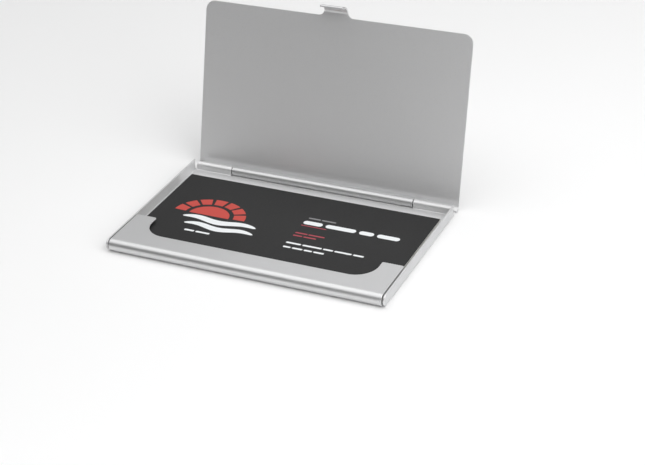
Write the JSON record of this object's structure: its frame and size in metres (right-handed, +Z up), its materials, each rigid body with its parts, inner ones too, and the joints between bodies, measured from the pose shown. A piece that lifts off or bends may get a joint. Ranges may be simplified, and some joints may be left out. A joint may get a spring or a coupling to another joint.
{
  "type": "business card case",
  "caption": "Slim sheet-aluminium business card case: shallow tray with a cut-out front plate, full-width hinged lid with a finger clip, and loose cards inside.",
  "frame": {"origin": "on the tray's flat underside, at the middle of the closed case's footprint", "axes": "+X to the right along the hinge, +Y from the front roll to the hinge, +Z up"},
  "size_m": [0.095, 0.0777, 0.0604],
  "materials": {
    "case_aluminium": "satin anodised, very fine grain",
    "rod_steel": "plain drawn",
    "card_white": "uncoated white card stock",
    "card_print": "matt black print on card stock"
  },
  "bodies": {
    "tray": {"tray": "case_aluminium", "hinge_rod": "rod_steel"},
    "lid": {"lid": "case_aluminium"},
    "cards": {"card_1": "card_white", "card_2": "card_white", "card_3": "card_white", "card_4": "card_white", "card_5": "card_print"}
  },
  "joints": [
    {"name": "lid_hinge", "type": "hinge", "parent": "tray", "child": "lid", "pos_m": [0, 0.0291, 0.0016], "axis": [1, 0, 0], "range_deg": [0, 105]},
    {"name": "card_slide", "type": "slide", "parent": "tray", "child": "cards", "axis": [0, 1, 0], "range_m": [0, 0.0064]}
  ]
}
